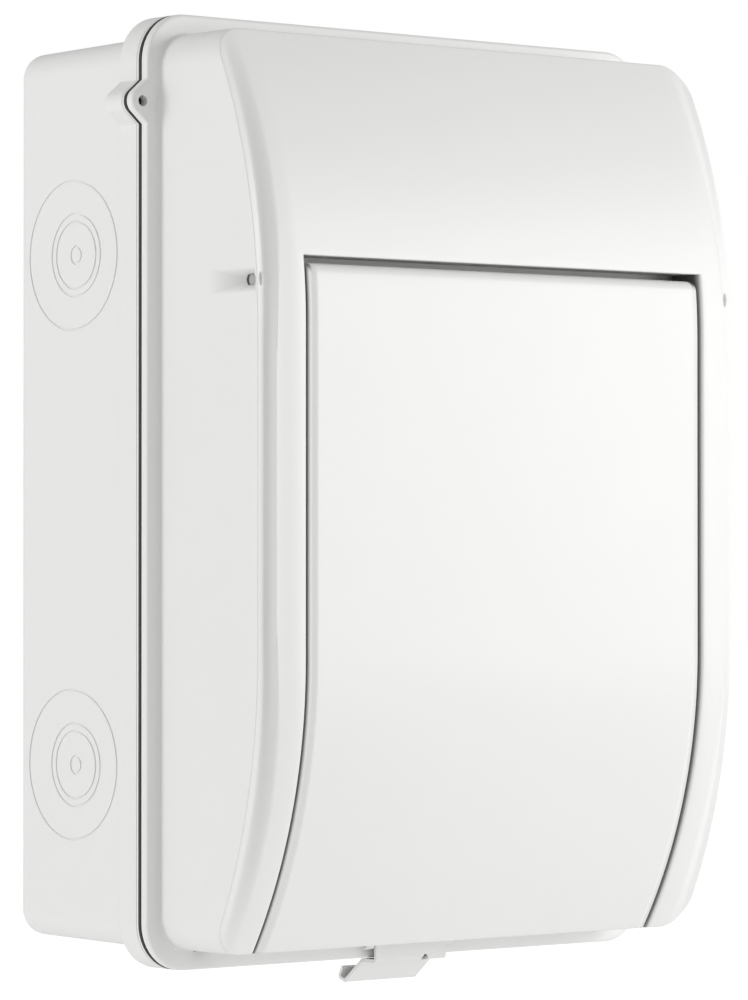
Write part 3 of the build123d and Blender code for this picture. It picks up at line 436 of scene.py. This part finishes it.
# Tone, gloss, then where they differ: grain, depth, drift, metal and gloss drift.
FINISH_VALUES = {
    "white_plastic": ((0.80, 0.80, 0.79), 0.42),
    "seal_rubber": ((0.022, 0.022, 0.023), 0.62, 1500.0, 0.25, 0.2),
    "pin_steel": ((0.50, 0.50, 0.51), 0.32, 2500.0, 0.1, 0.06, 1.0),
    "zinc_steel": ((0.62, 0.63, 0.65), 0.36, 320.0, 0.12, 0.16, 1.0, 0.25),
    "screw_steel": ((0.66, 0.66, 0.64), 0.28, 2200.0, 0.12, 0.1, 1.0),
    "ground_screw_steel": ((0.05, 0.24, 0.09), 0.3, 2200.0, 0.1, 0.1),
    "dead_front_paint": ((0.50, 0.52, 0.53), 0.45, 700.0, 0.2, 0.03),
    "bus_insulator": ((0.05, 0.05, 0.055), 0.5, 1200.0, 0.2, 0.08),
    "plated_aluminium": ((0.74, 0.74, 0.75), 0.33, 600.0, 0.1, 0.1, 1.0),
    "breaker_plastic": ((0.028, 0.028, 0.030), 0.48, 1800.0, 0.3, 0.1),
    "handle_plastic": ((0.016, 0.016, 0.018), 0.3, 2500.0, 0.1, 0.1),
}
FINISHES = {name: moulded(name, *values) for name, values in FINISH_VALUES.items()}
SLOT_OF = {part["node"]: part["material_slot"] for part in frame["record"]["subparts"]}
for node_name, node_object in frame["nodes"].items():
    node_object.data.materials.clear()
    node_object.data.materials.append(FINISHES[SLOT_OF[node_name]])


SOFT_EDGE = {"breaker_plastic": 0.5, "handle_plastic": 0.4, "bus_insulator": 0.5}


def soften(node, width):
    """Welds a CAD node's facets and rounds its sharp edges with live modifiers."""
    weld = node.modifiers.new("weld", "WELD")
    weld.merge_threshold = 0.002 * MM
    edge = node.modifiers.new("edges", "BEVEL")
    edge.width = width * MM
    edge.segments = 2
    edge.limit_method = "ANGLE"
    edge.angle_limit = math.radians(45.0)


for node_name, node_object in frame["nodes"].items():
    if SLOT_OF[node_name] in SOFT_EDGE:
        soften(node_object, SOFT_EDGE[SLOT_OF[node_name]])


# ---------------------------------------------------------------- cover shell
EDGE_STEPS = np.array([0.0, 0.04, 0.14, 0.32, 0.6, 1.0])
FOREHEAD_ROWS = (97.0, 173.0)
WALL_FOOT = 0.9
CORNER_TURN = np.radians(np.array([0.0, 6.0, 12.0, 19.0, 28.0, 38.0, 50.0, 65.0, 80.0, 90.0]))


def end_rows():
    """Heights through one rounded corner of the cover, from its tip inwards."""
    return COVER_HALF_Z - COVER_CORNER + COVER_CORNER * np.cos(CORNER_TURN)


def strip_shares():
    """Shares of the way across a frame strip, from the outer edge to the recess, densest at both."""
    width = COVER_HALF_X - RECESS_HALF_X
    outer = EDGE_STEPS * COVER_EDGE
    middle = np.concatenate([np.arange(1.4, 8.0, 0.3), np.arange(8.2, 19.2, 0.8)])
    return np.concatenate([outer, middle, width - EDGE_STEPS[::-1] * RECESS_SIDE_EDGE]) / width


def strip_x(side, rows):
    """x of a frame strip's points: rows by shares, following the rounded outline."""
    outer = rounded_half_width(rows, COVER_HALF_X, COVER_HALF_Z, COVER_CORNER)[:, None]
    return side * (outer + (RECESS_HALF_X - outer) * strip_shares()[None, :])


def wall_grid(x, z, top, split, away_x, away_z):
    """Wall down from a border line: level steps to split, more to the flange, then a small fillet.

    away is the outward direction, along which the foot's quarter-round spreads by WALL_FOOT.
    """
    share = np.linspace(0.0, 1.0, 7)[:, None]
    upper = top[None, :] + (split - top)[None, :] * share
    lower = split + (FLANGE_FRONT + WALL_FOOT - split) * np.linspace(0.0, 1.0, 4)[1:, None]
    turn = np.radians(np.linspace(0.0, 90.0, 5))[1:, None]
    fillet = FLANGE_FRONT + WALL_FOOT * (1.0 - np.sin(turn))
    spread = WALL_FOOT * (1.0 - np.cos(turn))
    flat = np.zeros((len(upper) + len(lower), 1))
    reach = np.concatenate([upper, np.broadcast_to(lower, (3, len(x))), fillet + 0.0 * x])
    off = np.concatenate([flat, spread])
    return points(x[None, :] + off * away_x, reach, z[None, :] + off * away_z)


def add_with_pin_hole(sheets, wall):
    """Adds a side wall with the door pin's seat in it: the cells round the pin make way for a
    patch of straight lines, from the border of the cells to the circle at the same angle, and a
    round cup PIN_CUP deep."""
    z = wall[0, :, 2]
    first, last = np.searchsorted(z, [PIN_CELLS[0] - 0.01, PIN_CELLS[1] - 0.01])
    keep = np.ones((wall.shape[0] - 1, wall.shape[1] - 1), bool)
    keep[:PIN_LEVELS, first:last] = False
    sheets.add(wall, keep)
    cells = wall[:PIN_LEVELS + 1, first:last + 1]
    border = np.concatenate([cells[0, :-1], cells[:-1, -1], cells[-1, :0:-1], cells[::-1, 0]])
    centre = np.array([border[0, 0], -DOOR_PIN_REACH, DOOR_PIN_Z])
    out = border - centre
    out /= np.linalg.norm(out, axis=-1, keepdims=True)
    inward = np.array([-np.sign(border[0, 0]) * PIN_CUP, 0.0, 0.0])
    rings = [centre + radius * out for radius in PIN_SEAT_R + np.array(PIN_RINGS)]
    floor_ring = rings[-1] + inward
    sheets.add(np.stack([border, *rings, floor_ring, 0.0 * border + centre + inward]))


def cover_shell():
    """The bowed cover with its door recess, as one open sheet given a wall.

    Strips left and right of the recess, the forehead above it, the walls down to the flange, the
    recess walls, and the recess floor round the window share their border points.
    """
    sheets = Sheets()
    ends = end_rows()
    low_rows = np.unique(np.round(np.concatenate([
        -ends, np.linspace(WINDOW_BOTTOM, WINDOW_TOP, 50), np.linspace(*PIN_CELLS, 11), [RECESS_TOP],
    ]), 6))
    high_rows = np.unique(np.round(np.concatenate([
        RECESS_TOP + EDGE_STEPS * RECESS_HEAD_EDGE, np.linspace(*FOREHEAD_ROWS, 20), ends,
    ]), 6))
    middle = np.arange(-RECESS_HALF_X, RECESS_HALF_X + 1.0, 5.0)
    split = FLANGE_FRONT + CROWN[1] - RECESS_DEPTH
    for side in (-1, 1):
        x = strip_x(side, low_rows)
        sheets.add(points(x, cover_reach(x, low_rows[:, None]), low_rows[:, None]))
    left = strip_x(-1, high_rows)
    right = strip_x(1, high_rows)[:, ::-1]
    across = np.broadcast_to(middle[1:-1], (len(high_rows), len(middle) - 2))
    x = np.concatenate([left, across, right], axis=1)
    sheets.add(points(x, cover_reach(x, high_rows[:, None]), high_rows[:, None]))

    rows = np.concatenate([low_rows, high_rows[1:]])
    outer = rounded_half_width(rows, COVER_HALF_X, COVER_HALF_Z, COVER_CORNER)
    over_z = np.sign(rows) * np.clip(np.abs(rows) - (COVER_HALF_Z - COVER_CORNER), 0.0, None)
    lean_x = np.sqrt(np.maximum(COVER_CORNER**2 - over_z**2, 0.0)) / COVER_CORNER
    for side in (-1, 1):
        top = cover_reach(side * outer, rows)
        away = (side * lean_x, over_z / COVER_CORNER)
        wall = wall_grid(side * outer, rows, top, np.full_like(top, split), *away)
        add_with_pin_hole(sheets, wall)
    top_x = x[-1]
    level = np.zeros_like(top_x)
    at_top = level + COVER_HALF_Z
    sheets.add(wall_grid(top_x, at_top, cover_reach(top_x, at_top), level + split, level, level + 1.0))
    for side in (-1, 1):
        foot_x = strip_x(side, low_rows[:1])[0]
        level = np.zeros_like(foot_x)
        at_foot = level - COVER_HALF_Z
        top = cover_reach(foot_x, at_foot)
        sheets.add(wall_grid(foot_x, at_foot, top, level + split, level, level - 1.0))
    level = np.zeros_like(middle)
    at_foot = level - COVER_HALF_Z
    sill = wall_grid(middle, at_foot, level + split, level + split, level, level - 1.0)
    sheets.add(sill[6:])

    floor = FLANGE_FRONT + bow(CROWN, low_rows) - RECESS_DEPTH
    share = np.linspace(0.0, 1.0, 7)[:, None]
    for side in (-1, 1):
        edge = np.full_like(low_rows, side * RECESS_HALF_X)
        top = cover_reach(edge, low_rows)
        sheets.add(points(edge[None, :], top + (floor - top) * share, low_rows[None, :]))
    at_head = level + RECESS_TOP
    top = cover_reach(middle, at_head)
    sheets.add(points(middle[None, :], top + (floor[-1] - top) * share, at_head[None, :]))
    centre_x = (middle[1:] + middle[:-1]) / 2.0
    centre_z = (low_rows[1:] + low_rows[:-1]) / 2.0
    within_z = (centre_z > WINDOW_BOTTOM) & (centre_z < WINDOW_TOP)
    keep = ~(within_z[:, None] & (np.abs(centre_x) < WINDOW_HALF_X)[None, :])
    sheets.add(points(middle[None, :], floor[:, None], low_rows[:, None]), keep)
    mesh = thickened(new_mesh("cover_shell", sheets, facing=(0.0, -170.0, 130.0)), COVER_WALL)
    mark_painted_shade(mesh)
    finish_piece("cover_shell", mesh, "cover", "white_plastic", ["front_cover"])


# ---------------------------------------------------------------- door
DOOR_ROWS = (-186.0, 85.0)
DOOR_COLUMNS = (-102.0, 102.0)


def inspection_door():
    """Door plate with rounded edges and skirts, as one open sheet given a wall."""
    sheets = Sheets()
    edge = np.array([0.0, 0.04, 0.14, 0.32, 0.58, 0.9, 1.2, 1.5, 1.9, 2.3, 2.8, 3.3, 3.8, 4.2, 4.5, 5.2])
    roll = DOOR_TOP - DOOR_TOP_EDGE * np.array([0.0, 0.015, 0.06, 0.13, 0.23, 0.36, 0.5, 0.66, 0.83, 1.0])
    foot = -COVER_HALF_Z + DOOR_FOOT_EDGE * EDGE_STEPS
    rows = np.unique(np.round(np.concatenate([foot, np.linspace(*DOOR_ROWS, 66), roll]), 6))
    middle = np.linspace(*DOOR_COLUMNS, 35)
    columns = np.concatenate([-DOOR_HALF_X + edge, middle, DOOR_HALF_X - edge[::-1]])
    x, z = columns[None, :], rows[:, None]
    sheets.add(points(x, door_reach(x, z), z))
    depth = DOOR_PLATE + 0.1 + (DOOR_SKIRT - DOOR_PLATE) * (1.0 - smooth(*SKIRT_START, rows))
    bottom = FLANGE_FRONT + bow(CROWN, rows) - depth
    share = np.linspace(0.0, 1.0, 6)[:, None]
    for side in (-1, 1):
        flank = np.full_like(rows, side * DOOR_HALF_X)
        top = door_reach(flank, rows)
        low = np.minimum(bottom, top - 0.2)
        sheets.add(points(flank[None, :], top + (low - top) * share, rows[None, :]))
    foot = np.full_like(columns, -COVER_HALF_Z)
    top = door_reach(columns, foot)
    low = np.full_like(top, FLANGE_FRONT + CROWN[1] - DOOR_SKIRT)
    sheets.add(points(columns[None, :], top + (low - top) * share, foot[None, :]))
    mesh = thickened(new_mesh("door_plate", sheets, facing=(0.0, -174.0, 0.0)), DOOR_WALL)
    mark_painted_shade(mesh)
    finish_piece("door_plate", mesh, "door", "white_plastic", ["inspection_door"])


# ---------------------------------------------------------------- flange ring
def lobe_outline(z):
    """Outer x of the flange edge near a lobe: the round end and its tangents, or the edge."""
    drop = np.abs(z - LOBE_Z)
    centre = FLANGE_HALF_X + LOBE_OUT
    run = centre - (FLANGE_HALF_X - LOBE_ROOT)
    gap = math.hypot(run, LOBE_HALF)
    tilt = math.asin(LOBE_R / gap) + math.atan2(run, LOBE_HALF)
    touch = LOBE_R * math.sin(tilt)
    round_end = centre + np.sqrt(np.maximum(LOBE_R**2 - drop**2, 0.0))
    slope = FLANGE_HALF_X - LOBE_ROOT + (LOBE_HALF - drop) * math.tan(tilt)
    return np.maximum(FLANGE_HALF_X, np.where(drop < touch, round_end, slope))


def flange_path():
    """Outer and inner outline of the flange, point for point, once round from the bottom left."""
    turn = np.radians(np.linspace(0.0, 90.0, 13))
    side_z = np.unique(np.concatenate([
        np.linspace(-1.0, 1.0, 30) * (FLANGE_HALF_Z - FLANGE_CORNER),
        LOBE_Z + np.linspace(-LOBE_SPAN, LOBE_SPAN, 53),
    ]))
    outer, inner = [], []
    inner_x = COVER_HALF_X - COVER_WALL
    inner_z = COVER_HALF_Z - COVER_WALL
    inner_corner = COVER_CORNER - COVER_WALL
    share = side_z / (FLANGE_HALF_Z - FLANGE_CORNER)
    top_x = np.linspace(-1.0, 1.0, 30)[1:-1]

    def corner(half_x, half_z, radius, sx, sz, angles):
        x = sx * (half_x - radius + radius * np.cos(angles))
        return np.stack([x, sz * (half_z - radius + radius * np.sin(angles))], axis=-1)

    for sx, sz, angles in ((1, 1, turn), (-1, 1, turn[::-1]), (-1, -1, turn), (1, -1, turn[::-1])):
        around = corner(FLANGE_HALF_X, FLANGE_HALF_Z, FLANGE_CORNER, sx, sz, angles)
        within = corner(inner_x, inner_z, inner_corner, sx, sz, angles)
        if (sx, sz) in ((1, 1), (-1, -1)):
            zs = side_z if sx > 0 else side_z[::-1]
            run = share if sx > 0 else share[::-1]
            outer.append(np.stack([sx * lobe_outline(zs), zs], axis=-1)[1:-1])
            inner.append(np.stack([0.0 * zs + sx * inner_x, run * (inner_z - inner_corner)], -1)[1:-1])
        if (sx, sz) in ((-1, 1), (1, -1)):
            xs = top_x[::-1] if sz > 0 else top_x
            outer.append(np.stack([xs * (FLANGE_HALF_X - FLANGE_CORNER), 0.0 * xs + sz * FLANGE_HALF_Z], -1))
            inner.append(np.stack([xs * (inner_x - inner_corner), 0.0 * xs + sz * inner_z], -1))
        outer.append(around)
        inner.append(within)
    return np.concatenate(outer), np.concatenate(inner)


def cover_flange():
    """Flat ring on the flange outline: its section, carried round the path, is a plate that goes in
    to the inner wall and whose outer edges are quarter-rounds."""
    outer, inner = flange_path()
    across = inner - outer
    length = np.hypot(across[:, 0], across[:, 1])[:, None]
    unit = across / length
    turn = np.radians(np.linspace(0.0, 90.0, 7))
    offset = np.concatenate([
        [1.0e6], FLANGE_BACK_ROUND * (1.0 - np.sin(turn)), FLANGE_ROUND * (1.0 - np.cos(turn)),
        np.linspace(FLANGE_ROUND, 8.0, 5)[1:], [1.0e6],
    ])
    reach = np.concatenate([
        [FLANGE_BACK], FLANGE_BACK + FLANGE_BACK_ROUND * (1.0 - np.cos(turn)),
        FLANGE_FRONT - FLANGE_ROUND * (1.0 - np.sin(turn)), np.full(5, FLANGE_FRONT),
    ])
    off = np.minimum(offset[None, :], length)
    spot = outer[:, None, :] + unit[:, None, :] * off[:, :, None]
    grid = points(spot[:, :, 0], reach[None, :] + 0.0 * off, spot[:, :, 1])
    grid = np.concatenate([grid, grid[:1]], axis=0)
    grid = np.concatenate([grid, grid[:, :1]], axis=1)
    sheets = Sheets()
    sheets.add(grid)
    mesh = new_mesh("cover_flange", sheets)
    lobes = [(side * (FLANGE_HALF_X + LOBE_OUT), LOBE_Z) for side in (-1, 1)]
    drill(mesh, lobes, LOBE_HOLE_R, -FLANGE_FRONT - 1.0, -FLANGE_BACK + 1.0)
    finish_piece("cover_flange", mesh, "cover", "white_plastic", ["front_cover"])


def drill(mesh, places, radius, start, end):
    """Cuts round holes along y through a closed mesh, with a Boolean whose result is kept: places
    are their x and z, and each runs from start to end."""
    turn = np.linspace(0.0, 2.0 * np.pi, 33)
    sheets = Sheets()
    for x, z in places:
        rings = np.zeros((4, len(turn), 3))
        share = np.array([0.0, 1.0, 1.0, 0.0])[:, None]
        rings[..., 0] = x + radius * share * np.cos(turn)
        rings[..., 1] = np.array([start, start, end, end])[:, None]
        rings[..., 2] = z + radius * share * np.sin(turn)
        sheets.add(rings)
    cutter = bpy.data.objects.new("cutter", new_mesh("cutter", sheets))
    target = bpy.data.objects.new("target", mesh)
    for made in (cutter, target):
        bpy.context.scene.collection.objects.link(made)
    cut = target.modifiers.new("cut", "BOOLEAN")
    cut.object = cutter
    cut.solver = "EXACT"
    graph = bpy.context.evaluated_depsgraph_get()
    result = bmesh.new()
    result.from_mesh(target.evaluated_get(graph).to_mesh())
    result.to_mesh(mesh)
    result.free()
    for made in (cutter, target):
        bpy.data.objects.remove(made)


# ---------------------------------------------------------------- small blocks
def rounded_block(low, high, radius, steps=4):
    """Block whose surface is every point of its inner box pushed out by radius: each face's grid is
    clamped to the inner box and moved out along the direction from there."""
    low, high = np.array(low, float), np.array(high, float)
    sheets = Sheets()
    turn = np.tan(np.radians(np.linspace(-45.0, 45.0, 2 * steps + 1)))

    def axis_marks(a):
        inner_low, inner_high = low[a] + radius, high[a] - radius
        return np.concatenate([inner_low + radius * np.minimum(turn[:steps + 1], 0.0),
                               inner_high + radius * np.maximum(turn[steps:], 0.0)])

    for a in range(3):
        b, c = (a + 1) % 3, (a + 2) % 3
        grid_b, grid_c = np.meshgrid(axis_marks(b), axis_marks(c), indexing="ij")
        for end in (low[a], high[a]):
            spot = np.zeros((*grid_b.shape, 3))
            spot[..., a], spot[..., b], spot[..., c] = end, grid_b, grid_c
            core = np.clip(spot, low + radius, high - radius)
            out = spot - core
            length = np.linalg.norm(out, axis=-1, keepdims=True)
            sheets.add(core + radius * out / np.maximum(length, 1e-9))
    return sheets


def block_piece(name, low, high, radius, body, finish, nodes=()):
    """Rounded block between two corners given as (x, reach, z)."""
    spot_low = (low[0], -high[1], low[2])
    spot_high = (high[0], -low[1], high[2])
    mesh = new_mesh(name, rounded_block(spot_low, spot_high, radius))
    finish_piece(name, mesh, body, finish, nodes)


def ear_piece(name, x_low, x_high, centre, radius, turn_start, base, body, nodes):
    """Ear round a pin: a half circle from turn_start degrees, led by two straight sides to its
    two base points (reach, z), carried along x and softened."""
    turn = np.radians(turn_start + np.linspace(0.0, 180.0, 17))
    ring = np.stack([centre[0] + radius * np.cos(turn), centre[1] + radius * np.sin(turn)], axis=-1)
    ring = np.concatenate([ring, np.array(base), ring[:1]])
    middle = ring[:-1].mean(axis=0)
    share = np.array([0.0, 1.0, 1.0, 0.0])[:, None, None]
    spots = middle + (ring[None] - middle) * share
    x = np.array([x_low, x_low, x_high, x_high])[:, None]
    sheets = Sheets()
    sheets.add(points(x, spots[..., 0], spots[..., 1]))
    mesh = applied(
        new_mesh(name, sheets), "BEVEL",
        width=0.4 * MM, segments=2, limit_method="ANGLE", angle_limit=math.radians(50.0),
    )
    finish_piece(name, mesh, body, "white_plastic", nodes)


def cover_ears():
    """Hinge ears behind the flange at the top, latch ears under the bottom wall."""
    for side, word in ((-1, "left"), (1, "right")):
        x = side * COVER_EAR_X
        rise = COVER_EAR_R
        base = [(FLANGE_BACK + 1.0, COVER_PIN_Z - rise), (FLANGE_BACK + 1.0, COVER_PIN_Z + rise)]
        ear_piece(
            f"hinge_ear_{word}", x - COVER_EAR_HALF, x + COVER_EAR_HALF,
            (COVER_PIN_REACH, COVER_PIN_Z), rise, 90.0, base, "cover", ["front_cover"],
        )
        low, high = sorted((side * (LATCH_HALF + LATCH_EAR_GAP), side * (LATCH_HALF + LATCH_EAR_END)))
        base = [(LATCH_PIN_REACH + 3.2, -COVER_HALF_Z + 1.0), (LATCH_PIN_REACH - 2.4, -COVER_HALF_Z + 1.0)]
        ear_piece(
            f"latch_ear_{word}", low, high, (LATCH_PIN_REACH, LATCH_PIN_Z), 2.0, 180.0,
            base, "cover", ["front_cover"],
        )


def door_lugs():
    """Lugs behind the door plate that hold the pins."""
    for side, word in ((-1, "left"), (1, "right")):
        low, high = sorted((side * (DOOR_HALF_X - 9.0), side * DOOR_HALF_X))
        block_piece(
            f"door_lug_{word}", (low, DOOR_PIN_REACH - 4.5, DOOR_PIN_Z - 4.5),
            (high, DOOR_PIN_REACH + 6.9, DOOR_PIN_Z + 4.2), 1.2, "door", "white_plastic",
            ["inspection_door"],
        )


cover_shell()
cover_ears()
inspection_door()
door_lugs()
cover_flange()

# ---------------------------------------------------------------- stage, light and camera
FLOOR_DROP = 0.30
FLOOR_GLOW = 0.22
FLOOR_LIFT = 0.38
WORLD_LEVEL = 0.53


def floor():
    """A wide square sheet well below the object."""
    sheets = Sheets()
    reach = np.linspace(-9000.0, 9000.0, 3)
    sheets.add(points(reach[:, None], reach[None, :], np.array(-FLOOR_DROP / MM)))
    mesh = new_mesh("floor", sheets)
    made = bpy.data.objects.new("floor", mesh)
    bpy.context.scene.collection.objects.link(made)
    paper = bpy.data.materials.new("paper_white")
    paper.use_nodes = True
    shader = paper.node_tree.nodes["Principled BSDF"]
    shader.inputs["Base Color"].default_value = (0.86, 0.86, 0.86, 1.0)
    shader.inputs["Roughness"].default_value = 0.9
    shader.inputs["Emission Color"].default_value = (1.0, 1.0, 1.0, 1.0)
    path = paper.node_tree.nodes.new("ShaderNodeLightPath")
    glow = paper.node_tree.nodes.new("ShaderNodeMath")
    glow.operation = "MULTIPLY_ADD"
    glow.inputs[1].default_value = FLOOR_LIFT
    glow.inputs[2].default_value = FLOOR_GLOW
    paper.node_tree.links.new(path.outputs["Is Camera Ray"], glow.inputs[0])
    paper.node_tree.links.new(glow.outputs[0], shader.inputs["Emission Strength"])
    mesh.materials.append(paper)


def area_light(name, place, aim, width, height, power):
    """Rectangular lamp at place, turned to aim, of a size in metres and a power in watts."""
    data = bpy.data.lights.new(name, "AREA")
    data.shape = "RECTANGLE"
    data.size, data.size_y, data.energy = width, height, power
    lamp = bpy.data.objects.new(name, data)
    bpy.context.scene.collection.objects.link(lamp)
    lamp.location = place
    lamp.rotation_euler = (Vector(aim) - Vector(place)).to_track_quat("-Z", "Y").to_euler()


def studio():
    """White surround for the camera and for transmission rays, a plainer one as light and in reflections,
    soft lamps.
    """
    world = bpy.data.worlds.new("studio")
    bpy.context.scene.world = world
    world.use_nodes = True
    nodes, links = world.node_tree.nodes, world.node_tree.links
    back = nodes["Background"]
    back.inputs["Color"].default_value = (1.0, 1.0, 1.0, 1.0)
    path = nodes.new("ShaderNodeLightPath")
    seen = nodes.new("ShaderNodeMath")
    seen.operation = "MAXIMUM"
    links.new(path.outputs["Is Camera Ray"], seen.inputs[0])
    links.new(path.outputs["Is Transmission Ray"], seen.inputs[1])
    level = nodes.new("ShaderNodeMapRange")
    level.inputs["To Min"].default_value = WORLD_LEVEL
    level.inputs["To Max"].default_value = 1.0
    links.new(seen.outputs[0], level.inputs["Value"])
    links.new(level.outputs["Result"], back.inputs["Strength"])
    area_light("right_box", (1.2, -1.35, 0.3), (0.0, -0.1, 0.0), 0.9, 0.9, 14.5)
    area_light("left_box", (-2.45, 0.75, 0.2), (0.0, -0.05, 0.0), 1.0, 1.6, 25.5)


CAMERA_TURN = math.radians(40.0)
CAMERA_PITCH = math.radians(0.637)
CAMERA_PLACE = (-1.3570, -1.7015, -0.0258)
CAMERA_LENS = 176.526


def camera():
    """Camera in front and to the left, turned CAMERA_TURN to the object and up by CAMERA_PITCH."""
    data = bpy.data.cameras.new("camera")
    data.lens = CAMERA_LENS
    data.sensor_width = 36.0
    made = bpy.data.objects.new("camera", data)
    bpy.context.scene.collection.objects.link(made)
    made.location = CAMERA_PLACE
    made.rotation_euler = (math.pi / 2.0 + CAMERA_PITCH, 0.0, -CAMERA_TURN)
    bpy.context.scene.camera = made


floor()
studio()
camera()
bpy.context.scene.view_settings.view_transform = "Standard"
